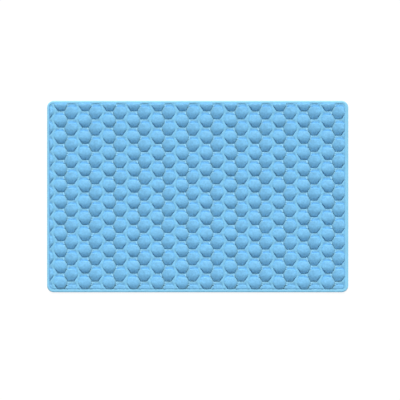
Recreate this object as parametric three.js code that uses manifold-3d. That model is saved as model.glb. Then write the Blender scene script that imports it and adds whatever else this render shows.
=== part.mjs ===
import * as THREE from 'three';
import { mergeVertices } from 'three/addons/utils/BufferGeometryUtils.js';
import Module from 'manifold-3d';

// Padded cooling mat for a pet, lying flat: a panel quilted in a honeycomb of pillows,
// with a binding rolled round its edge.
// Millimetres. X runs along the long side, Y across, Z up.
// The origin is the middle of the underside.

// The whole mat
const MAT_LENGTH = 760;
const MAT_WIDTH = 483;
const CORNER_RADIUS = 17;
const CORNER_STEPS = 8;

// One pillow: a hexagon with two points along X and two flats along Y
const PILLOW_HALF_LENGTH = 17.6;
const PILLOW_HALF_WIDTH = 16.7;
const PILLOW_HALF_FLAT = 9.4;
const SEAM_LEVEL = 4.4;

// Its rings from the foot to the crown: how far out each ring lies, and how high it is
// above the seams at the two points, at the back and at the front
const PILLOW_RINGS = [
  { reach: 1, point: 2.3, back: 0.4, front: 0 },
  { reach: 0.9, point: 4.0, back: 5.2, front: 1.1 },
  { reach: 0.45, point: 7.0, back: 7.3, front: 5.8 },
];

// The honeycomb: columns of odd and even pillows, set unevenly along X and half a row apart
const PITCH_X = 61.3;
const PITCH_Y = 40.9;
const FIRST_ODD = { x: -345.2, y: 230.4 };
const FIRST_EVEN = { x: -319.2, y: 210.1 };
const COLUMNS = { first: -1, last: 12 };
const ROWS = { first: -1, last: 12 };

// Pillows whose middles lie beyond this line at the near side are pinched low by the binding
const PINCHED_BELOW = -230;
const PINCHED_SHARE = 0.25;

// Where the cloth is drawn a little out of its pattern: middle, reach and shift of each pull
const PULLS = [
  { x: -120, y: 55, reach: 75, along: 2.2, across: -1.1 },
  { x: 22, y: 40, reach: 55, along: -1.8, across: 0.2 },
  { x: -95, y: -75, reach: 50, along: -1.8, across: 0.3 },
  { x: 207, y: -10, reach: 70, along: -1.4, across: 0.2 },
  { x: 230, y: -110, reach: 130, along: 0.2, across: -1.3 },
];

// The edge: the panel is pressed thin where the binding holds it, and stands clear of it by a gap
const FLANGE_INSET = 3.3;
const FLANGE_FLOOR = 1.6;
const FLANGE_TOP = 4.3;
const PANEL_INSET = 7.3;
const PANEL_GAP = 0.3;
const UNDERSIDE_INSET = 8;
const UNDERSIDE_ROUND = 0.7;
const BLANK_TOP = 20;
const RELIEF_FLOOR = -10;

// The width of the binding's upper fold on each side; the fold is laid out for the far side
// and stretched beyond its first stretch on the others
const FOLD_WIDTH = { left: 5.3, right: 9.1, far: 7.0, near: 8.7 };
const FOLD_START = 2;

// The binding's section, from its inner lower edge round its outside and back through
// the channel that holds the panel: distance in from the mat's edge, and height
const BINDING_SECTION = [
  { inset: 7.0, height: 0 },
  { inset: 1.4, height: 0 },
  { inset: 0.4, height: 0.7 },
  { inset: 0, height: 2.0 },
  { inset: 0, height: 3.5 },
  { inset: 0.3, height: 4.7 },
  { inset: 1.1, height: 5.5 },
  { inset: 2.5, height: 6.0, fold: true },
  { inset: 4.6, height: 6.0, fold: true },
  { inset: 6.5, height: 5.85, fold: true },
  { inset: 7.0, height: 5.3, fold: true },
  { inset: 7.0, height: 4.7, fold: true },
  { inset: 3.0, height: 4.7 },
  { inset: 3.0, height: 1.3 },
  { inset: 7.0, height: 1.3 },
];

const PANEL_CLOTH = { color: 0x7cc0ec, roughness: 0.72, metalness: 0 };
const BINDING_CLOTH = { color: 0x8fd4fc, roughness: 0.6, metalness: 0 };

const wasm = await Module();
wasm.setup();

// How far in each side lies: the same all round, or stretched with the binding's upper fold
function allRound(inset) {
  return { left: inset, right: inset, far: inset, near: inset };
}

function alongFold(inset, gap) {
  const stretched = (width) =>
    FOLD_START + (inset - FOLD_START) * (width - FOLD_START) / (FOLD_WIDTH.far - FOLD_START) + gap;
  return {
    left: stretched(FOLD_WIDTH.left),
    right: stretched(FOLD_WIDTH.right),
    far: stretched(FOLD_WIDTH.far),
    near: stretched(FOLD_WIDTH.near),
  };
}

// Points of the mat's outline, drawn in by the insets of its sides, counter-clockwise
function outline(insets) {
  const corner = { x: MAT_LENGTH / 2 - CORNER_RADIUS, y: MAT_WIDTH / 2 - CORNER_RADIUS };
  const corners = [
    { x: 1, y: 1, beside: insets.right, end: insets.far },
    { x: -1, y: 1, beside: insets.left, end: insets.far },
    { x: -1, y: -1, beside: insets.left, end: insets.near },
    { x: 1, y: -1, beside: insets.right, end: insets.near },
  ];
  return corners.flatMap((side, quarter) =>
    Array.from({ length: CORNER_STEPS + 1 }, (_, step) => {
      const turn = (quarter + step / CORNER_STEPS) * Math.PI / 2;
      return new THREE.Vector2(
        side.x * corner.x + (CORNER_RADIUS - side.beside) * Math.cos(turn),
        side.y * corner.y + (CORNER_RADIUS - side.end) * Math.sin(turn),
      );
    }));
}

// The cloth's shift out of its pattern at a point
function drawn(x, y) {
  const shift = new THREE.Vector2(0, 0);
  for (const pull of PULLS) {
    const share = Math.exp(-((x - pull.x) ** 2 + (y - pull.y) ** 2) / pull.reach ** 2);
    shift.x += share * pull.along;
    shift.y += share * pull.across;
  }
  return shift;
}

// Corners of a pillow about its middle, counter-clockwise from the point on +X
const PILLOW_CORNERS = [
  [PILLOW_HALF_LENGTH, 0],
  [PILLOW_HALF_FLAT, PILLOW_HALF_WIDTH],
  [-PILLOW_HALF_FLAT, PILLOW_HALF_WIDTH],
  [-PILLOW_HALF_LENGTH, 0],
  [-PILLOW_HALF_FLAT, -PILLOW_HALF_WIDTH],
  [PILLOW_HALF_FLAT, -PILLOW_HALF_WIDTH],
];
const RIGHT = 0;
const UPPER_RIGHT = 1;
const UPPER_LEFT = 2;
const LEFT = 3;
const LOWER_LEFT = 4;
const LOWER_RIGHT = 5;

// A net of triangles that is filled piece by piece
class Net {
  constructor() {
    this.positions = [];
    this.triangles = [];
  }

  point(x, y, z) {
    this.positions.push(x, y, z);
    return this.positions.length / 3 - 1;
  }

  triangle(a, b, c) {
    this.triangles.push(a, b, c);
  }

  quad(a, b, c, d) {
    this.triangle(a, b, c);
    this.triangle(a, c, d);
  }
}

// One pillow: its rings of six points, from the foot in the seams to the crown
function addPillow(net, middle) {
  const full = middle.y < PINCHED_BELOW ? PINCHED_SHARE : 1;
  const rings = PILLOW_RINGS.map((ring) => {
    const rises = [ring.point, ring.back, ring.back, ring.point, ring.front, ring.front];
    return PILLOW_CORNERS.map(([x, y], corner) => {
      const px = middle.x + x * ring.reach;
      const py = middle.y + y * ring.reach;
      const shift = drawn(px, py);
      return net.point(px + shift.x, py + shift.y, SEAM_LEVEL + rises[corner] * full);
    });
  });
  for (let k = 0; k + 1 < rings.length; k += 1) {
    joinRings(net, rings[k], rings[k + 1]);
  }
  const crown = rings[rings.length - 1];
  net.quad(crown[UPPER_RIGHT], crown[UPPER_LEFT], crown[LEFT], crown[RIGHT]);
  net.quad(crown[RIGHT], crown[LEFT], crown[LOWER_LEFT], crown[LOWER_RIGHT]);
  return rings[0];
}

function pillowGrid(net, first) {
  const grid = new Map();
  for (let column = COLUMNS.first; column <= COLUMNS.last; column += 1) {
    for (let row = ROWS.first; row <= ROWS.last; row += 1) {
      const middle = { x: first.x + column * PITCH_X, y: first.y - row * PITCH_Y };
      grid.set(`${column},${row}`, addPillow(net, middle));
    }
  }
  return (column, row) => grid.get(`${column},${row}`);
}

// Flat seams between the pillows, and the small triangles where three pillows meet
function addSeams(net, odd, even) {
  for (let column = COLUMNS.first; column <= COLUMNS.last; column += 1) {
    for (let row = ROWS.first; row <= ROWS.last; row += 1) {
      const here = odd(column, row);
      const above = odd(column, row - 1);
      const evenRight = even(column, row);
      const evenUpRight = even(column, row - 1);
      const evenLeft = even(column - 1, row);
      const evenUpLeft = even(column - 1, row - 1);
      net.quad(here[LOWER_RIGHT], evenRight[LEFT], evenRight[UPPER_LEFT], here[RIGHT]);
      if (evenLeft) {
        net.quad(evenLeft[RIGHT], here[LOWER_LEFT], here[LEFT], evenLeft[UPPER_RIGHT]);
      }
      if (above) {
        net.quad(here[UPPER_LEFT], here[UPPER_RIGHT], above[LOWER_RIGHT], above[LOWER_LEFT]);
        net.quad(here[RIGHT], evenUpRight[LOWER_LEFT], evenUpRight[LEFT], here[UPPER_RIGHT]);
        net.quad(evenRight[UPPER_LEFT], evenRight[UPPER_RIGHT],
          evenUpRight[LOWER_RIGHT], evenUpRight[LOWER_LEFT]);
        net.triangle(here[RIGHT], evenRight[UPPER_LEFT], evenUpRight[LOWER_LEFT]);
        net.triangle(here[UPPER_RIGHT], evenUpRight[LEFT], above[LOWER_RIGHT]);
      }
      if (above && evenLeft) {
        net.quad(here[LEFT], here[UPPER_LEFT], evenUpLeft[RIGHT], evenUpLeft[LOWER_RIGHT]);
        net.triangle(here[LEFT], evenUpLeft[LOWER_RIGHT], evenLeft[UPPER_RIGHT]);
        net.triangle(here[UPPER_LEFT], above[LOWER_LEFT], evenUpLeft[RIGHT]);
      }
    }
  }
}

// The single loop of edges that only one triangle uses, in order
function openEdge(net) {
  const onward = new Map();
  for (let t = 0; t < net.triangles.length; t += 3) {
    for (let side = 0; side < 3; side += 1) {
      const from = net.triangles[t + side];
      const to = net.triangles[t + (side + 1) % 3];
      if (onward.get(to)?.has(from)) {
        onward.get(to).delete(from);
      } else {
        if (!onward.has(from)) {
          onward.set(from, new Set());
        }
        onward.get(from).add(to);
      }
    }
  }
  const start = [...onward.keys()].find((point) => onward.get(point).size > 0);
  const loop = [];
  let point = start;
  do {
    loop.push(point);
    [point] = onward.get(point);
  } while (point !== start);
  return loop;
}

// Walls down from the net's open edge, and a floor under it
function closeDownTo(net, level) {
  const rim = openEdge(net);
  const foot = rim.map((point) =>
    net.point(net.positions[3 * point], net.positions[3 * point + 1], level));
  rim.forEach((point, k) => {
    const next = (k + 1) % rim.length;
    net.quad(rim[next], point, foot[k], foot[next]);
  });
  const flat = foot.map((point) =>
    new THREE.Vector2(net.positions[3 * point], net.positions[3 * point + 1]));
  for (const [a, b, c] of THREE.ShapeUtils.triangulateShape(flat, [])) {
    net.triangle(foot[c], foot[b], foot[a]);
  }
}

function netGeometry(net) {
  const geometry = new THREE.BufferGeometry();
  geometry.setAttribute('position', new THREE.Float32BufferAttribute(net.positions, 3));
  geometry.setIndex(net.triangles);
  return mergeVertices(geometry);
}

// One ring of points for each point of the section, all round the mat
function addRings(net, section) {
  return section.map(({ insets, height }) =>
    outline(insets).map(({ x, y }) => net.point(x, y, height)));
}

function joinRings(net, lower, upper) {
  lower.forEach((point, k) => {
    const next = (k + 1) % lower.length;
    net.quad(point, lower[next], upper[next], upper[k]);
  });
}

// The space that the panel may fill: body and thin flange
function panelBlank() {
  const net = new Net();
  const besideFold = alongFold(FOLD_WIDTH.far, PANEL_GAP);
  const section = [
    { insets: allRound(UNDERSIDE_INSET), height: 0 },
    { insets: allRound(PANEL_INSET), height: UNDERSIDE_ROUND },
    { insets: allRound(PANEL_INSET), height: FLANGE_FLOOR },
    { insets: allRound(FLANGE_INSET), height: FLANGE_FLOOR },
    { insets: allRound(FLANGE_INSET), height: FLANGE_TOP },
    { insets: besideFold, height: FLANGE_TOP },
    { insets: besideFold, height: BLANK_TOP },
  ];
  const rings = addRings(net, section);
  for (let k = 0; k + 1 < rings.length; k += 1) {
    joinRings(net, rings[k], rings[k + 1]);
  }
  const caps = [
    { ring: rings[0], insets: allRound(UNDERSIDE_INSET), up: false },
    { ring: rings[rings.length - 1], insets: besideFold, up: true },
  ];
  for (const { ring, insets, up } of caps) {
    for (const [a, b, c] of THREE.ShapeUtils.triangulateShape(outline(insets), [])) {
      if (up) {
        net.triangle(ring[a], ring[b], ring[c]);
      } else {
        net.triangle(ring[c], ring[b], ring[a]);
      }
    }
  }
  return netGeometry(net);
}

function solid(geometry) {
  return new wasm.Manifold(new wasm.Mesh({
    numProp: 3,
    vertProperties: Float32Array.from(geometry.attributes.position.array),
    triVerts: Uint32Array.from(geometry.index.array),
  }));
}

function solidGeometry(manifold) {
  const mesh = manifold.getMesh();
  const geometry = new THREE.BufferGeometry();
  geometry.setAttribute('position', new THREE.BufferAttribute(mesh.vertProperties, 3));
  geometry.setIndex(new THREE.BufferAttribute(mesh.triVerts, 1));
  return geometry;
}

// The quilted panel: honeycomb relief cut to the mat's outline
function quiltedPanel() {
  const net = new Net();
  const odd = pillowGrid(net, FIRST_ODD);
  const even = pillowGrid(net, FIRST_EVEN);
  addSeams(net, odd, even);
  closeDownTo(net, RELIEF_FLOOR);
  const relief = solid(netGeometry(net));
  const panel = relief.intersect(solid(panelBlank()));
  const cloth = new THREE.MeshStandardMaterial(PANEL_CLOTH);
  const mesh = new THREE.Mesh(solidGeometry(panel), cloth);
  mesh.name = 'quilted_panel';
  return mesh;
}

// The binding: one closed ring of folded tape round the panel's flange
function edgeBinding() {
  const net = new Net();
  const rings = addRings(net, BINDING_SECTION.map(({ inset, height, fold }) => ({
    insets: fold ? alongFold(inset, 0) : allRound(inset),
    height,
  })));
  rings.forEach((ring, k) => {
    joinRings(net, ring, rings[(k + 1) % rings.length]);
  });
  const cloth = new THREE.MeshStandardMaterial(BINDING_CLOTH);
  const mesh = new THREE.Mesh(netGeometry(net), cloth);
  mesh.name = 'edge_binding';
  return mesh;
}

const mat = new THREE.Group();
mat.add(quiltedPanel());
mat.add(edgeBinding());

export default mat;
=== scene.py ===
import math

import bmesh
import bpy
import numpy as np
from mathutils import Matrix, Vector, noise


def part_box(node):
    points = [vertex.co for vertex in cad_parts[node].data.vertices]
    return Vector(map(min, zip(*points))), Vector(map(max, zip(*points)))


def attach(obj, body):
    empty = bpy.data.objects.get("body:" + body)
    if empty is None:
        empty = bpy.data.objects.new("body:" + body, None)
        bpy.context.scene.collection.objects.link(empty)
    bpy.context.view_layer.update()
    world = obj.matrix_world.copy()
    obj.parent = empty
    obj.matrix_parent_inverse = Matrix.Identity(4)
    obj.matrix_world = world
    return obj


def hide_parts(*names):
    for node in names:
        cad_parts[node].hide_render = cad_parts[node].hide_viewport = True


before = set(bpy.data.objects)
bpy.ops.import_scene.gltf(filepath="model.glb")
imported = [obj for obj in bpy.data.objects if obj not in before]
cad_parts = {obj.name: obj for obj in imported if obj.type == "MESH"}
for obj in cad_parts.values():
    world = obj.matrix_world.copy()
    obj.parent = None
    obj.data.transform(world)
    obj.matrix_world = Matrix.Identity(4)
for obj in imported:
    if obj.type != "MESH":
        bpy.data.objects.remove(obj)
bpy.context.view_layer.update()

# Padded cooling mat for a pet, lying flat: a honeycomb-quilted panel with a folded binding.
# Metres. X runs along the long side, Y across, Z up; the origin is the middle of the underside.
# A pillow's back is its side towards +Y, the mat's far side, and its front the side towards -Y.
MM = 0.001
TINY = 1e-6
ON_PLANE = 1e-7

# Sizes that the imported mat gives
_, binding_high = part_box("edge_binding")
_, panel_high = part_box("quilted_panel")
HALF_LENGTH = binding_high.x
HALF_WIDTH = binding_high.y
CROWN_LEVEL = panel_high.z
CORNER_RADIUS = 17 * MM
CORNER_X = HALF_LENGTH - CORNER_RADIUS
CORNER_Y = HALF_WIDTH - CORNER_RADIUS

# The honeycomb: columns of odd and even pillows, set unevenly along X and half a row apart
PITCH_X = 61.3 * MM
PITCH_Y = 40.9 * MM
FIRST = {"odd": (-345.2 * MM, 230.4 * MM), "even": (-319.2 * MM, 210.1 * MM)}
COLUMNS = range(-1, 13)
ROWS = range(-1, 13)

# One pillow: a hexagon with two points along X and two flats along Y. Its height differs a little
# from pillow to pillow, by a hash of the pillow's number
PILLOW_HALF_LENGTH = 17.6 * MM
PILLOW_HALF_WIDTH = 16.7 * MM
PILLOW_HALF_FLAT = 9.4 * MM
SLANT = Vector((PILLOW_HALF_WIDTH, PILLOW_HALF_LENGTH - PILLOW_HALF_FLAT)).normalized()
SLANTED_REACH = PILLOW_HALF_LENGTH * SLANT.x
SEAM_LEVEL = 4.4 * MM
PILLOW_RISE = CROWN_LEVEL - SEAM_LEVEL
LEAST_RISE = 0.3 * MM
RISE_SPREAD = 0.05
HASH = {"step": 12.9898, "start": 78.233, "scale": 43758.5453}
COLUMN_NUMBERS = 31

# A pillow's filling: a level crown between two Y values, and from there its falls, each with the
# distance over which it goes and the power of its curve: the whole front flank, its tuck at the
# foot, the back flank and the two sides. The front flank goes down to the foot. The sides fall
# less towards the back, beside the wide seams over a band of their own
CROWN_BAND = {"odd": (-0.2 * MM, 2.5 * MM), "even": (2.4 * MM, 12 * MM)}
FRONT_FALL = {"fall": 5.8 * MM, "power": 1.7}
FRONT_TUCK = {"fall": 0.5 * MM, "reach": 3.0 * MM, "power": 2.0}
BACK_FALL = {"fall": 1.6 * MM, "reach": 12 * MM, "power": 2.0}
SIDE_FALL = {"fall": 6.4 * MM, "reach": 17.6 * MM, "power": 3.4}
SIDE_EASED = 0.5
WIDE_SIDE_EASING = (-2 * MM, 12 * MM)

# A pillow's walls, as slopes. One half of each pillow has the wide seams beside it, and there its
# slanted sides stand further in at the front and further out at the back than on the tight half
FRONT_WALL = {"flat": 3.5, "slanted": 14.0}
BACK_WALL = {"flat": 12.0, "slanted": 14.0}
WIDE_SEAM_SIDE = {"odd": -1, "even": 1}
FRONT_DRAWN_IN = {"flat": 1.7 * MM, "wide": 2.9 * MM, "tight": 1.4 * MM}
BACK_REACH = {"flat": -0.6 * MM, "wide": 1.8 * MM, "tight": 1.2 * MM}
BACK_BEVEL = {"level": 3.0 * MM, "slope": 0.38}
FOOT_SOFTNESS = 0.15 * MM

# Bands over which a pillow's forms change. Up from its middle: its front into its back, and what
# lies before it into what lies behind it. Down from its middle: its drawing in. Down from its back
# side: its further reach beside the wide seams. Out from its middle line: the half with the wide
# seams. By how much deeper in from the flat than from the slanted sides: the slanted sides' part
BACK_BAND = (-1 * MM, 5 * MM)
BEHIND_BAND = (-7 * MM, 4 * MM)
DRAWN_IN_BAND = (1 * MM, 7 * MM)
BACK_CORNER_BAND = (1 * MM, 7 * MM)
WIDE_BAND = (0, 2 * MM)
SLANTED_BAND = (-2 * MM, 4 * MM)

# The seams are wide beside one half of a pillow and tight beside the other. Their padding rises
# from the foot of the pillow above them, and dips into a crease at the back of the pillow below.
# Over the rib's reach a pillow's foot stops holding the padding down. Far puts a form out of play
RIB = {
    "flat": {"rise": 1.0 * MM, "shoulder": 0.8 * MM},
    "wide": {"rise": 2.8 * MM, "shoulder": 2.2 * MM},
    "tight": {"rise": 2.8 * MM, "shoulder": 0.5 * MM},
}
RIB_REACH = (10.5 * MM, 13.5 * MM)
CREASE = {
    "flat": {"depth": 1.2 * MM, "reach": 7.0 * MM},
    "wide": {"depth": 0.9 * MM, "reach": 1.3 * MM},
    "tight": {"depth": 0.0 * MM, "reach": 1.2 * MM},
}
FAR = 20 * MM

# Where light and shade are painted into the cloth's colour: painted shade, bluer and streaked with
# the gathers' painted light and shade, down the front flanks; painted light along the wide seams
# and the pillows' tips beside them; and a painted tint of the shade, warmer and less blue, round
# the front feet, less so beside the wide seams
PAINTED_SHADE_FLANK_BAND = (2 * MM, PILLOW_HALF_WIDTH)
SIDE_MARGIN = 1 * MM
PAINTED_LIGHT_SEAM_REACH = (3 * MM, 8 * MM)
PAINTED_LIGHT_TIP_BAND = (0 * MM, 7.5 * MM)
PAINTED_SHADE_FOOT_REACH = (0.5 * MM, 4 * MM)
WIDE_SEAM_PAINTED_SHADE_FADE = 0.7

# Pillows whose middles lie close to the near side's binding are pinched low by it
PINCHED = {"share": 0.25, "from": 0 * MM, "to": 10 * MM}

# Where the cloth is drawn a little out of its pattern: middle, reach and shift of each pull
PULLS = [
    {"x": -120 * MM, "y": 55 * MM, "reach": 75 * MM, "along": 2.2 * MM, "across": -1.1 * MM},
    {"x": 22 * MM, "y": 40 * MM, "reach": 55 * MM, "along": -1.8 * MM, "across": 0.2 * MM},
    {"x": -95 * MM, "y": -75 * MM, "reach": 50 * MM, "along": -1.8 * MM, "across": 0.3 * MM},
    {"x": 207 * MM, "y": -10 * MM, "reach": 70 * MM, "along": -1.4 * MM, "across": 0.2 * MM},
    {"x": 230 * MM, "y": -110 * MM, "reach": 130 * MM, "along": 0.2 * MM, "across": -1.3 * MM},
]

# The binding's upper fold is wider on some sides than on others
RIM_WIDTH = {"left": 5.4 * MM, "right": 9.2 * MM, "far": 7.1 * MM, "near": 7.9 * MM}
OUTWARD = {
    "left": Vector((-1, 0, 0)),
    "right": Vector((1, 0, 0)),
    "far": Vector((0, 1, 0)),
    "near": Vector((0, -1, 0)),
}

# The panel along the inside of the binding: the band over which the cloth comes up from under it,
# wider at the left, and the rows of edges cut there, as distances in from the binding
PRESSED_BAND = (-0.6 * MM, 1.1 * MM)
PRESSED_LEFT = 4.5 * MM
PRESSED_LEVEL = 4.3 * MM
PRESSED_ROWS = (PRESSED_BAND[0], 0.0 * MM, 0.6 * MM, PRESSED_BAND[1])
ROW_STRIP = 8 * MM

# The panel's edge inside the binding, from the top net's border down to the underside: distances
# in from the mat's edge, and heights
TUCK_INSET = 4.5 * MM
EDGE_PROFILE = [
    (TUCK_INSET, 1.7 * MM),
    (7.3 * MM, 1.7 * MM),
    (7.4 * MM, 0.7 * MM),
    (8 * MM, 0),
]

# The underside: its net's border, and the lift of its seams, which goes over into the pillows and
# fades out towards the border
UNDERSIDE_NET_INSET = 10 * MM
UNDERSIDE_LIFT = 1.1 * MM
UNDERSIDE_SEAM_BAND = (-3 * MM, 1.8 * MM)
UNDERSIDE_EDGE_BAND = (UNDERSIDE_NET_INSET, UNDERSIDE_NET_INSET + 5 * MM)

# Mesh steps of the top net and of the plainer underside net, and of the corners they are cut to.
# Points carry 1 on a pillow's foot, and less where a cut makes them between the foot and beyond
TOP_STEPS = {
    "side": 4,
    "rings": (0.3, 0.55, 0.73, 0.84, 0.92, 0.965, 1.0),
    "seam": (0, 0.12, 0.28, 0.5, 0.72, 0.88, 1),
}
UNDERSIDE_STEPS = {"side": 2, "rings": (1.0,), "seam": (0, 0.5, 1)}
CUT_CORNER_STEPS = 6
ON_FOOT = 0.99

# The binding's section in millimetres, from its inner lower edge round its outside and back
# through the channel. The upper fold is laid out for one width and stretched to the others,
# beyond its start and above its level
BINDING_SECTION = [
    (7.0, 0.1),
    (6.4, 0),
    (1.9, 0),
    (0.9, 0.3),
    (0.3, 1.0),
    (0, 2.1),
    (0, 3.4),
    (0.2, 4.4),
    (0.7, 5.2),
    (1.5, 5.75),
    (2.5, 6.0),
    (3.6, 6.05),
    (4.6, 6.0),
    (5.3, 5.9),
    (5.9, 5.9),
    (6.5, 5.85),
    (6.95, 5.65),
    (7.1, 5.3),
    (6.9, 4.95),
    (6.2, 4.8),
    (3.0, 4.7),
    (2.8, 3.0),
    (3.0, 1.4),
    (6.2, 1.35),
    (6.8, 1.1),
]
FOLD_START = 2
FOLD_LEVEL = 4.6
FOLD_WIDTH = 7.1
BINDING_CORNER_STEPS = 14
BINDING_STEP = 5 * MM

# The binding's puckers: their depth and size, how far in they reach their full depth, and the
# level in millimetres above which they also lift the tape
PUCKER = 0.18 * MM
PUCKER_SCALE = 12 * MM
PUCKER_FULL_INSET = 4
PUCKER_LIFT_LEVEL = 4.9
PUCKER_LIFT_SHIFT = Vector((7, 3, 1))

# The stitches: their place on the upper fold, their size, and how that differs; and the bead, one
# unit across, that is scaled to that size
STITCH_INSET = 1.75 * MM
STITCH_LEVEL = 5.95 * MM
STITCH_PITCH = 3.2 * MM
STITCH_LENGTH = 2.3 * MM
STITCH_THICKNESS = 0.42 * MM
STITCH_SPREAD = (0.88, 1.08)
STITCH_SEED = 5
STITCH_FACETS = 6
UNIT_RADIUS = 0.5

# Colours of the cloths and the thread; the painted light of the wide seams, and the painted tint of
# the shade at the front feet, warmer and less blue
PANEL_BLUE = (0.192, 0.512, 0.87)
BINDING_BLUE = (0.26, 0.62, 0.91)
THREAD_BLUE = (0.24, 0.58, 0.86)
WIDE_SEAM_PAINTED_LIGHT = (1.15, 1.11, 1.03)
FOOT_PAINTED_SHADE_TINT = (1.2, 1.02, 0.86)
SHEEN_ROUGHNESS = 0.4
SPECULAR = 0.3

# The photo's view: straight down, a little off the mat's middle
PHOTO_PIXELS = 400
PHOTO_PIXEL = 2.525 * MM
MAT_MIDDLE_PIXEL = (197.7, 196.55)
CAMERA_HEIGHT = 4.0
CAMERA_CLIP = 100
SENSOR_WIDTH = 36

# The light, and the floor, which glows so that it shows the photo's white
FLOOR_REACH = 30
FLOOR_FINISH = {
    "Base Color": (0.1, 0.1, 0.1, 1),
    "Emission Color": (1, 1, 1, 1),
    "Emission Strength": 0.93,
    "Roughness": 0.9,
    "Specular IOR Level": 0.1,
}
KEY_TOWARDS = Vector((0, 1.0, 0.78))
KEY_DISTANCE = 3
KEY_ENERGY = 3.6
KEY_COLOUR = (1.06, 1.01, 0.92)
KEY_SPREAD = math.radians(14)
FILL = {"Color": (0.83, 0.98, 1.0, 1), "Strength": 0.32}


def outline(inset, corner_steps, side_step):
    """Points of the mat's outline, drawn in by the inset, counter-clockwise, with their outward
    normals. An infinite side step leaves the sides whole."""
    radius = CORNER_RADIUS - inset
    middles = [(1, 1), (-1, 1), (-1, -1), (1, -1)]
    points = []
    for quarter, (sx, sy) in enumerate(middles):
        middle = Vector((sx * CORNER_X, sy * CORNER_Y))
        for step in range(corner_steps + 1):
            turn = (quarter + step / corner_steps) * math.pi / 2
            normal = Vector((math.cos(turn), math.sin(turn)))
            points.append((middle + radius * normal, normal))
        start, normal = points[-1]
        next_x, next_y = middles[(quarter + 1) % 4]
        end = Vector((next_x * CORNER_X + radius * normal.x, next_y * CORNER_Y + radius * normal.y))
        count = max(1, round((end - start).length / side_step))
        points += [(start.lerp(end, k / count), normal) for k in range(1, count)]
    return points


def edge_distance(x, y):
    """Distance in from the mat's edge, for arrays of points."""
    past_x = np.abs(x) - CORNER_X
    past_y = np.abs(y) - CORNER_Y
    straight = CORNER_RADIUS - np.maximum(past_x, past_y)
    round_corner = CORNER_RADIUS - np.hypot(past_x, past_y)
    return np.where((past_x > 0) & (past_y > 0), round_corner, straight)


def rim_width(x, y):
    """Width of the binding's upper fold beside points near the mat's edge."""
    past_x = np.maximum(np.abs(x) - CORNER_X, TINY)
    past_y = np.maximum(np.abs(y) - CORNER_Y, TINY)
    share = past_x ** 2 / (past_x ** 2 + past_y ** 2)
    beside = np.where(x > 0, RIM_WIDTH["right"], RIM_WIDTH["left"])
    end = np.where(y > 0, RIM_WIDTH["far"], RIM_WIDTH["near"])
    return beside * share + end * (1 - share)


def smoothstep(x, low, high):
    """From 0 at low to 1 at high, level at both ends."""
    t = np.clip((x - low) / (high - low), 0, 1)
    return t * t * (3 - 2 * t)


def slanted_shift(y, wide):
    """How far a pillow's slanted sides stand out of the plain hexagon, by the distance up from its
    middle."""
    back = smoothstep(y, *BACK_BAND)
    front = smoothstep(-y, *DRAWN_IN_BAND)
    wider = wide * smoothstep(PILLOW_HALF_WIDTH - y, *BACK_CORNER_BAND)
    reach = BACK_REACH["tight"] + (BACK_REACH["wide"] - BACK_REACH["tight"]) * wider
    drawn_in = FRONT_DRAWN_IN["tight"] + (FRONT_DRAWN_IN["wide"] - FRONT_DRAWN_IN["tight"]) * wide
    return reach * back - drawn_in * front


def pillow_foot(family, steps):
    """A pillow's foot about its middle, counter-clockwise from the point on +X, in steps to each
    side."""
    back = PILLOW_HALF_WIDTH + BACK_REACH["flat"]
    front = FRONT_DRAWN_IN["flat"] - PILLOW_HALF_WIDTH

    def slanted(sign, y):
        wide = float(sign == WIDE_SEAM_SIDE[family])
        across = SLANTED_REACH + float(slanted_shift(y, wide)) - abs(y) * SLANT.y
        return Vector((sign * across / SLANT.x, y))

    def stepped(start, end):
        return [start + (end - start) * k / steps for k in range(steps)]

    foot = [slanted(1, y) for y in stepped(0, back)]
    foot += stepped(slanted(1, back), slanted(-1, back))
    foot += [slanted(-1, y) for y in stepped(back, 0)]
    foot += [slanted(-1, y) for y in stepped(0, front)]
    foot += stepped(slanted(-1, front), slanted(1, front))
    foot += [slanted(1, y) for y in stepped(front, 0)]
    return foot


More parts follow.
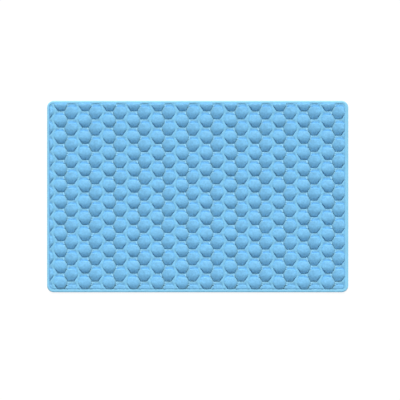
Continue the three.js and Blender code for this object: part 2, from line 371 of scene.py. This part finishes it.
class HoneycombNet:
    """The flat net of the quilting: rings in each pillow, strips for the seams, triangles where
    three meet. Points are shared by key, so that the net is one sheet."""

    # The pillow across each upper side: its family, and its column and row from this one
    UPPER_NEIGHBOURS = {
        "odd": [("even", 0, -1), ("odd", 0, -1), ("even", -1, -1)],
        "even": [("odd", 1, 0), ("even", 0, -1), ("odd", 0, 0)],
    }

    def __init__(self, steps):
        self.side = steps["side"]
        self.rings = steps["rings"]
        self.across = steps["seam"]
        self.seam = len(self.across) - 1
        self.around = 6 * self.side
        self.index = {}
        self.points = []
        self.faces = []
        self.foot = {family: pillow_foot(family, self.side) for family in FIRST}
        pillows = [(family, c, r) for family in FIRST for c in COLUMNS for r in ROWS]
        self.pillows = set(pillows)
        for pillow in pillows:
            self.add_pillow(pillow)
        for pillow in pillows:
            self.add_seams(pillow)
        self.foot_ring = {self.foot_point(p, k) for p in pillows for k in range(self.around)}

    def point(self, key, place):
        if key not in self.index:
            self.index[key] = len(self.points)
            self.points.append(place)
        return self.index[key]

    def add_pillow(self, pillow):
        family, column, row = pillow
        first_x, first_y = FIRST[family]
        middle = Vector((first_x + column * PITCH_X, first_y - row * PITCH_Y))
        crown = self.point((pillow, "crown"), middle)
        inner = None
        for share in self.rings:
            ring = [
                self.point((pillow, share, k), middle + place * share)
                for k, place in enumerate(self.foot[family])
            ]
            for k in range(self.around):
                onward = (k + 1) % self.around
                if inner is None:
                    self.faces.append((crown, ring[k], ring[onward]))
                else:
                    self.faces.append((inner[k], ring[k], ring[onward], inner[onward]))
            inner = ring

    def foot_point(self, pillow, k):
        return self.index[(pillow, self.rings[-1], k % self.around)]

    def corner(self, pillow, corner):
        return self.foot_point(pillow, corner * self.side)

    def between(self, a, b, step):
        """The point a number of steps from one foot point to the one across the seam."""
        if step == 0:
            return a
        if step == self.seam:
            return b
        if a > b:
            a, b, step = b, a, self.seam - step
        place = self.points[a].lerp(self.points[b], self.across[step])
        return self.point(("seam", a, b, step), place)

    def add_seams(self, pillow):
        across = []
        for side, (family, column, row) in enumerate(self.UPPER_NEIGHBOURS[pillow[0]]):
            neighbour = (family, pillow[1] + column, pillow[2] + row)
            across.append(neighbour if neighbour in self.pillows else None)
            if across[-1]:
                self.add_strip(pillow, side, neighbour)
        right, above, left = across
        if right and above:
            self.add_junction(
                self.corner(pillow, 1), self.corner(right, 3), self.corner(above, 5))
        if above and left:
            self.add_junction(
                self.corner(pillow, 2), self.corner(above, 4), self.corner(left, 0))

    def add_strip(self, pillow, side, neighbour):
        steps = range(self.side + 1)
        near = [self.foot_point(pillow, side * self.side + i) for i in steps]
        far = [self.foot_point(neighbour, (side + 4) * self.side - i) for i in steps]
        for step in range(self.seam):
            for i in range(self.side):
                self.faces.append((
                    self.between(near[i], far[i], step),
                    self.between(near[i], far[i], step + 1),
                    self.between(near[i + 1], far[i + 1], step + 1),
                    self.between(near[i + 1], far[i + 1], step),
                ))

    def add_junction(self, a, b, c):
        count = self.seam

        def grid(i, j):
            """The point i steps towards b and j steps towards c."""
            if j == 0:
                return self.between(a, b, i)
            if i == 0:
                return self.between(a, c, j)
            if i + j == count:
                return self.between(b, c, j)
            total = self.across[i] + self.across[j] + self.across[count - i - j]
            pa, pb, pc = self.points[a], self.points[b], self.points[c]
            place = pa + (pb - pa) * (self.across[i] / total) + (pc - pa) * (self.across[j] / total)
            return self.point(("junction", a, b, c, i, j), place)

        for i in range(count):
            for j in range(count - i):
                self.faces.append((grid(i, j), grid(i + 1, j), grid(i, j + 1)))
                if i + j + 2 <= count:
                    self.faces.append((grid(i + 1, j), grid(i + 1, j + 1), grid(i, j + 1)))


def about_pillow(x, y, family, lower):
    """Points as seen from a pillow of one family, in the row above them or in the one below."""
    first_x, first_y = FIRST[family]
    column = np.round((x - first_x) / PITCH_X)
    row = np.floor((first_y - y) / PITCH_Y) + lower
    return {
        "middle_y": first_y - row * PITCH_Y,
        "family": family,
        "dx": x - first_x - column * PITCH_X,
        "dy": y - first_y + row * PITCH_Y,
        "number": (column * COLUMN_NUMBERS + row) * 2 + (family == "even"),
    }


def side_depths(cell):
    """How far in from a pillow's flat sides and from its slanted sides the points are; outside is
    below 0."""
    along, across = cell["dx"] * SLANT.x, cell["dy"] * SLANT.y
    beyond = np.maximum(np.abs(along + across), np.abs(along - across))
    return {
        "flat": PILLOW_HALF_WIDTH - np.abs(cell["dy"]),
        "slanted": SLANTED_REACH - beyond,
    }


def spread(number):
    """A steady random number from -1 to 1 for each pillow."""
    mixed = np.abs(np.sin(number * HASH["step"] + HASH["start"])) * HASH["scale"]
    return 2 * np.modf(mixed)[0] - 1


def fall(form, past, reach=None):
    return form["fall"] * (np.maximum(past, 0) / (reach or form["reach"])) ** form["power"]


def softly_higher(a, b):
    """The higher of two surfaces, with a soft passage between them."""
    return FOOT_SOFTNESS * np.logaddexp(a / FOOT_SOFTNESS, b / FOOT_SOFTNESS)


def pillow_height(cell, depths, back, behind, wide):
    """Height of a pillow's filling above the seams."""
    rise = PILLOW_RISE * (1 + RISE_SPREAD * (spread(cell["number"]) - 1) / 2)
    front, rear = CROWN_BAND[cell["family"]]
    front_reach = front + PILLOW_HALF_WIDTH - FRONT_DRAWN_IN["flat"]
    ahead = front - cell["dy"]
    eased = wide * smoothstep(cell["dy"], *WIDE_SIDE_EASING) + (1 - wide) * behind
    top = rise - fall(FRONT_FALL, ahead, front_reach)
    top -= fall(FRONT_TUCK, ahead - front_reach + FRONT_TUCK["reach"])
    sides = fall(SIDE_FALL, np.abs(cell["dx"])) * (1 - SIDE_EASED * eased)
    top -= fall(BACK_FALL, cell["dy"] - rear) + sides
    bevel = BACK_BEVEL["level"] + BACK_BEVEL["slope"] * depths["slanted"] + FAR * (1 - back * wide)
    walls = [
        (FRONT_WALL[side] + (BACK_WALL[side] - FRONT_WALL[side]) * back) * np.maximum(depth, 0)
        for side, depth in depths.items()
    ]
    surface = np.maximum(top, LEAST_RISE)
    for limit in (bevel, *walls):
        surface = -softly_higher(-surface, -limit)
    from_binding = cell["middle_y"] + HALF_WIDTH - RIM_WIDTH["near"]
    free = smoothstep(from_binding, PINCHED["from"], PINCHED["to"])
    return np.maximum(surface, 0) * (PINCHED["share"] + (1 - PINCHED["share"]) * free)


def of_side(form, key, slanted, wide):
    """A size that goes from the flat sides' value to that of the wide or tight slanted sides."""
    beside = form["tight"][key] + (form["wide"][key] - form["tight"][key]) * wide
    return form["flat"][key] + (beside - form["flat"][key]) * slanted


def quilted_height(x, y, inside, pressed):
    """Height of the quilted face at points of the flat pattern, from their distance in from the
    binding and the width over which it presses the cloth down; and three shares from 0 to 1: how
    far down a pillow's front flank a point lies, which carries painted shade, how far it belongs to
    a wide seam, which carries painted light, and how near it is to a front foot, which carries a
    painted tint of the shade."""
    filling = np.zeros_like(x)
    flank = np.zeros_like(x)
    seam = np.zeros_like(x)
    foot = np.zeros_like(x)
    rib = np.full_like(x, RIB["wide"]["rise"])
    dip = np.zeros_like(x)
    for family in FIRST:
        for lower in (0, 1):
            cell = about_pillow(x, y, family, lower)
            back = smoothstep(cell["dy"], *BACK_BAND)
            behind = smoothstep(cell["dy"], *BEHIND_BAND)
            wide = smoothstep(cell["dx"] * WIDE_SEAM_SIDE[family], *WIDE_BAND)
            depths = side_depths(cell)
            depths["flat"] += BACK_REACH["flat"] * back - FRONT_DRAWN_IN["flat"] * (1 - back)
            depths["slanted"] += slanted_shift(cell["dy"], wide)
            depth = np.minimum(depths["flat"], depths["slanted"])
            outside = np.maximum(-depth, 0)
            slanted = smoothstep(depths["flat"] - depths["slanted"], *SLANTED_BAND)

            # The pillow; a row whose middle would lie beyond the mat's far edge has none
            on_mat = cell["middle_y"] < HALF_WIDTH
            height = pillow_height(cell, depths, back, behind, wide) * on_mat
            # The share of painted shade, darker and bluer, down the pillow's front flank
            flank = np.where(height > filling, smoothstep(-cell["dy"], *PAINTED_SHADE_FLANK_BAND), flank)
            filling = np.maximum(filling, height)

            # Where the painted tint of the shade at its front foot, and the painted light along the
            # wide seams and its tips beside them, go
            margin = np.maximum(np.abs(depth) - SIDE_MARGIN, 0)
            near = (1 - smoothstep(margin, *PAINTED_SHADE_FOOT_REACH)) * (1 - back)
            foot = np.maximum(foot, near * (1 - WIDE_SEAM_PAINTED_SHADE_FADE * slanted * wide))
            # Painted light: paler and brighter along the wide seams and the pillow's tips beside
            # them
            tip = behind * (1 - smoothstep(cell["dy"], *PAINTED_LIGHT_TIP_BAND))
            painted_light_share = (1 - smoothstep(margin, *PAINTED_LIGHT_SEAM_REACH)) * slanted * wide
            seam = np.maximum(seam, painted_light_share * np.maximum(tip, outside > 0))

            # The padding that rises in front of it, and the crease behind it
            past_mat = cell["middle_y"] > HALF_WIDTH
            below = (outside + FAR * past_mat) / of_side(RIB, "shoulder", slanted, wide)
            raised = of_side(RIB, "rise", slanted, wide) * (1 - np.exp(-below))
            elsewhere = np.maximum(behind, smoothstep(outside, *RIB_REACH))
            rib = np.minimum(rib, raised + (RIB["wide"]["rise"] - raised) * elsewhere)
            above = (outside + FAR * (1 - back)) / of_side(CREASE, "reach", slanted, wide)
            dip = np.maximum(dip, of_side(CREASE, "depth", slanted, wide) * np.exp(-above))
    full = SEAM_LEVEL - PRESSED_LEVEL + softly_higher(filling, rib - dip)
    height = PRESSED_LEVEL + full * smoothstep(inside, PRESSED_BAND[0], pressed)
    return height, flank, seam, foot


def drawn(x, y):
    """Points of the flat pattern, moved to where the pulls draw the cloth."""
    shift_x = np.zeros_like(x)
    shift_y = np.zeros_like(y)
    for pull in PULLS:
        share = np.exp(-((x - pull["x"]) ** 2 + (y - pull["y"]) ** 2) / pull["reach"] ** 2)
        shift_x += share * pull["along"]
        shift_y += share * pull["across"]
    return x + shift_x, y + shift_y


def clip_to_outline(made, inset):
    """Cuts a flat net to the mat's outline, drawn in by the inset."""
    rim = [place for place, _ in outline(inset, CUT_CORNER_STEPS, math.inf)]
    for place, onward in zip(rim, rim[1:] + rim[:1]):
        along = onward - place
        if along.length < TINY:
            continue
        bmesh.ops.bisect_plane(
            made,
            geom=made.verts[:] + made.edges[:] + made.faces[:],
            dist=ON_PLANE,
            plane_co=(place.x, place.y, 0),
            plane_no=Vector((along.y, -along.x, 0)).normalized(),
            clear_outer=True,
        )


def net_bmesh(steps, inset):
    """A honeycomb net in its place on the mat, cut to the outline. Its points carry their places
    in the flat pattern, and whether they are on a pillow's foot."""
    net = HoneycombNet(steps)
    x = np.array([p.x for p in net.points])
    y = np.array([p.y for p in net.points])
    made = bmesh.new()
    layers = [made.verts.layers.float.new(name) for name in ("pattern_x", "pattern_y", "foot")]
    verts = []
    for k, (place_x, place_y) in enumerate(zip(*drawn(x, y))):
        vert = made.verts.new((place_x, place_y, 0))
        for layer, value in zip(layers, (x[k], y[k], float(k in net.foot_ring))):
            vert[layer] = value
        verts.append(vert)
    for face in net.faces:
        made.faces.new([verts[k] for k in face])
    clip_to_outline(made, inset)
    return made


def net_places(made):
    """A net's points as arrays: X and Y in the flat pattern, and X and Y on the mat."""
    layers = [made.verts.layers.float[name] for name in ("pattern_x", "pattern_y")]
    pattern = [np.array([vert[layer] for vert in made.verts]) for layer in layers]
    place = [np.array([vert.co[axis] for vert in made.verts]) for axis in (0, 1)]
    return pattern, place


def crease_round(made, rows):
    """Cuts rows of edges into the net along the inside of the binding."""
    for side, out in OUTWARD.items():
        reach = HALF_LENGTH if out.x else HALF_WIDTH
        for inside in rows:
            limit = reach - RIM_WIDTH[side] - inside
            strip = [
                face for face in made.faces
                if abs(face.calc_center_median().dot(out) - limit) < ROW_STRIP
            ]
            edges = {edge for face in strip for edge in face.edges}
            verts = {vert for face in strip for vert in face.verts}
            bmesh.ops.bisect_plane(
                made,
                geom=list(verts) + list(edges) + strip,
                dist=ON_PLANE,
                plane_co=out * limit,
                plane_no=out,
            )


def raise_quilting(made):
    """Raises the top net to the quilted face, and gives its points the shares of painted shade on
    the front flanks, of painted light on the wide seams and of the painted shade tint at the front
    feet, and the edges at the pillows' feet a crisp fold."""
    layers = [made.verts.layers.float.new(name) for name in ("front_flank_painted_shade", "seam", "front_foot_painted_shade")]
    pattern, (x, y) = net_places(made)
    beside_left = x + HALF_LENGTH < HALF_WIDTH - np.abs(y)
    pressed = np.where(beside_left, PRESSED_LEFT, PRESSED_BAND[1])
    inside = edge_distance(x, y) - rim_width(x, y)
    for vert, z, *shares in zip(made.verts, *quilted_height(*pattern, inside, pressed)):
        vert.co.z = z
        for layer, share in zip(layers, shares):
            vert[layer] = share
    foot = made.verts.layers.float["foot"]
    for edge in made.edges:
        edge.smooth = min(vert[foot] for vert in edge.verts) < ON_FOOT


def moved_in(vert, inset):
    """The point beside a border point, at another distance in from the mat's edge."""
    corner = Vector((math.copysign(CORNER_X, vert.co.x), math.copysign(CORNER_Y, vert.co.y)))
    past = Vector((abs(vert.co.x) - abs(corner.x), abs(vert.co.y) - abs(corner.y)))
    if past.x > 0 and past.y > 0:
        out = (Vector((vert.co.x, vert.co.y)) - corner).normalized()
        return corner + out * (CORNER_RADIUS - inset)
    if past.x > past.y:
        return Vector((math.copysign(HALF_LENGTH - inset, vert.co.x), vert.co.y))
    return Vector((vert.co.x, math.copysign(HALF_WIDTH - inset, vert.co.y)))


def border_edges(made):
    return [edge for edge in made.edges if edge.is_boundary]


def fold_border(made, profile):
    """Carries the open border round the panel's pressed edge, ring by ring."""
    edges = border_edges(made)
    for inset, height in profile:
        grown = bmesh.ops.extrude_edge_only(made, edges=edges)["geom"]
        edges = [part for part in grown if isinstance(part, bmesh.types.BMEdge)]
        for vert in [part for part in grown if isinstance(part, bmesh.types.BMVert)]:
            vert.co = (*moved_in(vert, inset), height)


def underside():
    """The plainer net below, facing down, with the quilting pressed into it shallowly."""
    made = net_bmesh(UNDERSIDE_STEPS, UNDERSIDE_NET_INSET)
    pattern, place = net_places(made)
    depth = np.maximum.reduce([
        np.minimum(*side_depths(about_pillow(*pattern, family, lower)).values())
        for family in FIRST
        for lower in (0, 1)
    ])
    lift = UNDERSIDE_LIFT * smoothstep(-depth, *UNDERSIDE_SEAM_BAND)
    lift *= smoothstep(edge_distance(*place), *UNDERSIDE_EDGE_BAND)
    for vert, z in zip(made.verts, lift):
        vert.co.z = z
    bmesh.ops.reverse_faces(made, faces=made.faces[:])
    return made


def linked(name, data):
    """A new object in the scene."""
    made = bpy.data.objects.new(name, data)
    bpy.context.scene.collection.objects.link(made)
    return made


def smooth_piece(name, mesh):
    for face in mesh.polygons:
        face.use_smooth = True
    return linked(name, mesh)


def piece_of(made, name):
    mesh = bpy.data.meshes.new(name)
    made.to_mesh(mesh)
    made.free()
    return smooth_piece(name, mesh)


def quilted_panel():
    """The whole padded panel: top net, pressed edge and underside net, one closed body."""
    made = net_bmesh(TOP_STEPS, TUCK_INSET)
    crease_round(made, PRESSED_ROWS)
    raise_quilting(made)
    fold_border(made, EDGE_PROFILE)
    below = underside()
    scrap = bpy.data.meshes.new("underside_net")
    below.to_mesh(scrap)
    below.free()
    made.from_mesh(scrap)
    bpy.data.meshes.remove(scrap)
    bmesh.ops.triangle_fill(
        made, edges=border_edges(made), use_beauty=True, normal=(0, 0, -1))
    bmesh.ops.recalc_face_normals(made, faces=made.faces[:])
    return piece_of(made, "quilted_panel_cloth")


def binding_rim():
    return outline(0, BINDING_CORNER_STEPS, BINDING_STEP)


def edge_binding():
    """The folded tape, swept round the mat's outline and slightly puckered."""
    made = bmesh.new()
    rings = []
    for place, normal in binding_rim():
        ring = []
        width = float(rim_width(place.x, place.y)) / MM
        for inset, height in BINDING_SECTION:
            if height > FOLD_LEVEL and inset > FOLD_START:
                stretched = (inset - FOLD_START) * (width - FOLD_START)
                inset = FOLD_START + stretched / (FOLD_WIDTH - FOLD_START)
            seed = Vector((place.x, place.y, inset * MM)) / PUCKER_SCALE
            give = PUCKER * noise.noise(seed) * min(1, inset / PUCKER_FULL_INSET)
            spot = place - normal * (inset * MM + give)
            level = height * MM
            if height > PUCKER_LIFT_LEVEL:
                level += PUCKER * noise.noise(seed + PUCKER_LIFT_SHIFT)
            ring.append(made.verts.new((spot.x, spot.y, level)))
        rings.append(ring)
    count = len(BINDING_SECTION)
    for ring, onward in zip(rings, rings[1:] + rings[:1]):
        for i in range(count):
            j = (i + 1) % count
            made.faces.new((ring[i], ring[j], onward[j], onward[i]))
    bmesh.ops.recalc_face_normals(made, faces=made.faces[:])
    return piece_of(made, "edge_binding_tape")


def stitch_tree(thread):
    """Geometry nodes: short thread stitches, one after the other along a path."""
    tree = bpy.data.node_groups.new("running_stitches", "GeometryNodeTree")
    nodes, links = tree.nodes, tree.links
    tree.interface.new_socket(name="Path", in_out="INPUT", socket_type="NodeSocketGeometry")
    sizes = {"Pitch": STITCH_PITCH, "Length": STITCH_LENGTH, "Thickness": STITCH_THICKNESS}
    for name, value in sizes.items():
        socket = tree.interface.new_socket(
            name=name, in_out="INPUT", socket_type="NodeSocketFloat")
        socket.default_value = value
    tree.interface.new_socket(name="Stitches", in_out="OUTPUT", socket_type="NodeSocketGeometry")
    entry = nodes.new("NodeGroupInput")
    leave = nodes.new("NodeGroupOutput")

    resample = nodes.new("GeometryNodeResampleCurve")
    resample.mode = "LENGTH"
    links.new(entry.outputs["Path"], resample.inputs["Curve"])
    links.new(entry.outputs["Pitch"], resample.inputs["Length"])

    bead = nodes.new("GeometryNodeMeshUVSphere")
    bead.inputs["Segments"].default_value = STITCH_FACETS
    bead.inputs["Rings"].default_value = STITCH_FACETS
    bead.inputs["Radius"].default_value = UNIT_RADIUS
    size = nodes.new("ShaderNodeCombineXYZ")
    for axis, name in (("X", "Thickness"), ("Y", "Thickness"), ("Z", "Length")):
        links.new(entry.outputs[name], size.inputs[axis])
    shaped = nodes.new("GeometryNodeTransform")
    links.new(bead.outputs["Mesh"], shaped.inputs["Geometry"])
    links.new(size.outputs["Vector"], shaped.inputs["Scale"])

    tangent = nodes.new("GeometryNodeInputTangent")
    turn = nodes.new("FunctionNodeAlignEulerToVector")
    turn.axis = "Z"
    links.new(tangent.outputs["Tangent"], turn.inputs["Vector"])
    wobble = nodes.new("FunctionNodeRandomValue")
    wobble.data_type = "FLOAT"
    wobble.inputs[2].default_value, wobble.inputs[3].default_value = STITCH_SPREAD
    wobble.inputs["Seed"].default_value = STITCH_SEED

    lay = nodes.new("GeometryNodeInstanceOnPoints")
    links.new(resample.outputs["Curve"], lay.inputs["Points"])
    links.new(shaped.outputs["Geometry"], lay.inputs["Instance"])
    links.new(turn.outputs["Rotation"], lay.inputs["Rotation"])
    links.new(wobble.outputs[1], lay.inputs["Scale"])
    real = nodes.new("GeometryNodeRealizeInstances")
    links.new(lay.outputs["Instances"], real.inputs["Geometry"])
    finish = nodes.new("GeometryNodeSetMaterial")
    finish.inputs["Material"].default_value = thread
    links.new(real.outputs["Geometry"], finish.inputs["Geometry"])
    links.new(finish.outputs["Geometry"], leave.inputs["Stitches"])
    return tree


def binding_stitches(thread):
    """One round of stitches that holds the binding's inner edge down."""
    path = bpy.data.curves.new("stitch_path", "CURVE")
    path.dimensions = "3D"
    spline = path.splines.new("POLY")
    rim = binding_rim()
    spline.points.add(len(rim) - 1)
    for point, (place, normal) in zip(spline.points, rim):
        spot = place - normal * (float(rim_width(place.x, place.y)) - STITCH_INSET)
        point.co = (spot.x, spot.y, STITCH_LEVEL, 1)
    spline.use_cyclic_u = True
    carrier = linked("stitch_path", path)
    modifier = carrier.modifiers.new("running_stitches", "NODES")
    modifier.node_group = stitch_tree(thread)
    bpy.context.view_layer.update()
    laid = carrier.evaluated_get(bpy.context.evaluated_depsgraph_get())
    mesh = bpy.data.meshes.new_from_object(laid)
    bpy.data.objects.remove(carrier)
    mesh.name = "binding_stitches"
    return smooth_piece("binding_stitches", mesh)


class Finish:
    """A cloth material and the nodes that build it."""

    def __init__(self, name, roughness, sheen):
        self.material = bpy.data.materials.new(name)
        self.material.use_nodes = True
        self.nodes = self.material.node_tree.nodes
        self.links = self.material.node_tree.links
        self.shader = self.nodes["Principled BSDF"]
        self.shader.inputs["Roughness"].default_value = roughness
        self.shader.inputs["Sheen Weight"].default_value = sheen
        self.shader.inputs["Sheen Roughness"].default_value = SHEEN_ROUGHNESS
        self.shader.inputs["Specular IOR Level"].default_value = SPECULAR
        self.place = self.nodes.new("ShaderNodeTexCoord").outputs["Object"]

    def texture(self, kind, scale, stretch=(1, 1, 1), turn=0.0):
        """A texture laid on the cloth, stretched along the axes and turned about Z."""
        mapping = self.nodes.new("ShaderNodeMapping")
        mapping.inputs["Scale"].default_value = stretch
        mapping.inputs["Rotation"].default_value = (0, 0, turn)
        self.links.new(self.place, mapping.inputs["Vector"])
        made = self.nodes.new(kind)
        made.inputs["Scale"].default_value = scale
        self.links.new(mapping.outputs["Vector"], made.inputs["Vector"])
        return made

    def noise(self, scale, detail, **laid):
        made = self.texture("ShaderNodeTexNoise", scale, **laid)
        made.inputs["Detail"].default_value = detail
        return made.outputs["Fac"]

    def wave(self, scale, **laid):
        return self.texture("ShaderNodeTexWave", scale, **laid).outputs["Fac"]

    def share(self, name):
        """A share that the cloth's points carry."""
        made = self.nodes.new("ShaderNodeAttribute")
        made.attribute_name = name
        return made.outputs["Fac"]

    def multiplied(self, factor, first, second):
        """One colour shaded by another or by a constant tint, as far as the factor says."""
        made = self.nodes.new("ShaderNodeMix")
        made.data_type = "RGBA"
        made.blend_type = "MULTIPLY"
        colours = [socket for socket in made.inputs if socket.type == "RGBA"]
        self.links.new(factor, made.inputs[0])
        self.links.new(first, colours[0])
        if isinstance(second, tuple):
            colours[1].default_value = (*second, 1)
        else:
            self.links.new(second, colours[1])
        return next(socket for socket in made.outputs if socket.type == "RGBA")

    def ramp(self, factor, stops):
        """A colour for each value of the factor, between two stops of position and colour."""
        made = self.nodes.new("ShaderNodeValToRGB")
        for element, (position, colour) in zip(made.color_ramp.elements, stops):
            element.position = position
            element.color = (*colour, 1)
        self.links.new(factor, made.inputs["Fac"])
        return made.outputs["Color"]

    def bump(self, height, distance, strength, below=None):
        made = self.nodes.new("ShaderNodeBump")
        made.inputs["Strength"].default_value = strength
        made.inputs["Distance"].default_value = distance
        self.links.new(height, made.inputs["Height"])
        if below is not None:
            self.links.new(below, made.inputs["Normal"])
        return made.outputs["Normal"]

    def done(self, colour, normal):
        self.links.new(colour, self.shader.inputs["Base Color"])
        self.links.new(normal, self.shader.inputs["Normal"])
        return self.material


def shaded(colour, share):
    return tuple(channel * share for channel in colour)


def panel_cloth():
    """Cool-touch knit: fine ribs, a mottle, soft creases, gathers that run down the front flanks,
    painted shade on those flanks streaked with the gathers' painted light and shade, painted light
    on the wide seams, and a painted tint of the shade at the front feet, warmer and less blue."""
    finish = Finish("cool_knit_cloth", roughness=0.55, sheen=0.15)
    mottle = finish.noise(scale=210, detail=4)
    blue = finish.ramp(mottle, [(0.35, shaded(PANEL_BLUE, 0.9)), (0.65, shaded(PANEL_BLUE, 1.06))])
    gathers = finish.noise(scale=330, detail=3, stretch=(1, 0.12, 1))
    # Painted shade down the front flanks, darker and bluer, streaked with the gathers' painted
    # light and shade
    shade = finish.ramp(gathers, [(0.38, (0.72, 0.82, 0.91)), (0.62, (1.11, 1.15, 1.21))])
    flanks = finish.multiplied(finish.share("front_flank_painted_shade"), blue, shade)
    # Painted light on the wide seams and the pillows' tips beside them
    seams = finish.multiplied(finish.share("seam"), flanks, WIDE_SEAM_PAINTED_LIGHT)
    # Painted tint of the shade at the front feet: warmer and less blue
    feet = finish.multiplied(finish.share("front_foot_painted_shade"), seams, FOOT_PAINTED_SHADE_TINT)
    creases = finish.noise(scale=180, detail=3, turn=0.6)
    knit = finish.wave(scale=350)
    soft = finish.bump(creases, distance=0.6 * MM, strength=0.7)
    gathered = finish.bump(gathers, distance=0.8 * MM, strength=0.6, below=soft)
    return finish.done(feet, finish.bump(knit, distance=0.06 * MM, strength=0.5, below=gathered))


def binding_cloth():
    """Smooth folded tape with a fine slanting twill."""
    finish = Finish("binding_tape_cloth", roughness=0.5, sheen=0.15)
    mottle = finish.noise(scale=60, detail=2)
    twill = finish.wave(scale=420, turn=0.8)
    return finish.done(
        finish.ramp(mottle, [(0.3, shaded(BINDING_BLUE, 0.97)), (0.7, shaded(BINDING_BLUE, 1.03))]),
        finish.bump(twill, distance=0.05 * MM, strength=0.5),
    )


def thread_finish():
    """Twisted sewing thread, with painted shade in the grooves of its twist."""
    finish = Finish("sewing_thread", roughness=0.45, sheen=0.1)
    twist_and_groove_shade = finish.wave(scale=900, turn=0.5)
    # Painted shade: the thread's colour is darker where its twist's bump is low
    return finish.done(
        finish.ramp(twist_and_groove_shade, [(0.2, shaded(THREAD_BLUE, 0.92)), (0.8, THREAD_BLUE)]),
        finish.bump(twist_and_groove_shade, distance=0.04 * MM, strength=0.6),
    )


def photo_camera():
    """The photo's camera, so that the mat lies in the frame as it does there."""
    across = (PHOTO_PIXELS / 2 - MAT_MIDDLE_PIXEL[0]) * PHOTO_PIXEL
    up = (MAT_MIDDLE_PIXEL[1] - PHOTO_PIXELS / 2) * PHOTO_PIXEL
    data = bpy.data.cameras.new("photo_camera")
    data.sensor_width = SENSOR_WIDTH
    data.lens = data.sensor_width * CAMERA_HEIGHT / (PHOTO_PIXELS * PHOTO_PIXEL)
    data.clip_end = CAMERA_CLIP
    camera = linked("photo_camera", data)
    camera.location = (across, up, CAMERA_HEIGHT)
    bpy.context.scene.camera = camera


def studio():
    """A white floor, one broad light from the mat's far side and an even fill."""
    floor_mesh = bpy.data.meshes.new("floor")
    corners = [(-1, -1), (1, -1), (1, 1), (-1, 1)]
    floor_mesh.from_pydata(
        [(x * FLOOR_REACH, y * FLOOR_REACH, 0) for x, y in corners], [], [(0, 1, 2, 3)])
    floor = linked("floor", floor_mesh)
    white = bpy.data.materials.new("floor_white")
    white.use_nodes = True
    for name, value in FLOOR_FINISH.items():
        white.node_tree.nodes["Principled BSDF"].inputs[name].default_value = value
    floor.data.materials.append(white)

    sun = bpy.data.lights.new("key", "SUN")
    sun.energy = KEY_ENERGY
    sun.color = KEY_COLOUR
    sun.angle = KEY_SPREAD
    key = linked("key", sun)
    key.rotation_mode = "QUATERNION"
    key.rotation_quaternion = KEY_TOWARDS.to_track_quat("Z", "Y")
    key.location = KEY_TOWARDS * KEY_DISTANCE

    world = bpy.data.worlds.new("studio_fill")
    world.use_nodes = True
    for name, value in FILL.items():
        world.node_tree.nodes["Background"].inputs[name].default_value = value
    bpy.context.scene.world = world
    bpy.context.scene.view_settings.view_transform = "Standard"


photo_camera()
studio()

panel = quilted_panel()
panel.data.materials.append(panel_cloth())
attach(panel, "root")
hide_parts("quilted_panel")

binding = edge_binding()
binding.data.materials.append(binding_cloth())
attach(binding, "root")
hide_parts("edge_binding")

stitches = binding_stitches(thread_finish())
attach(stitches, "root")
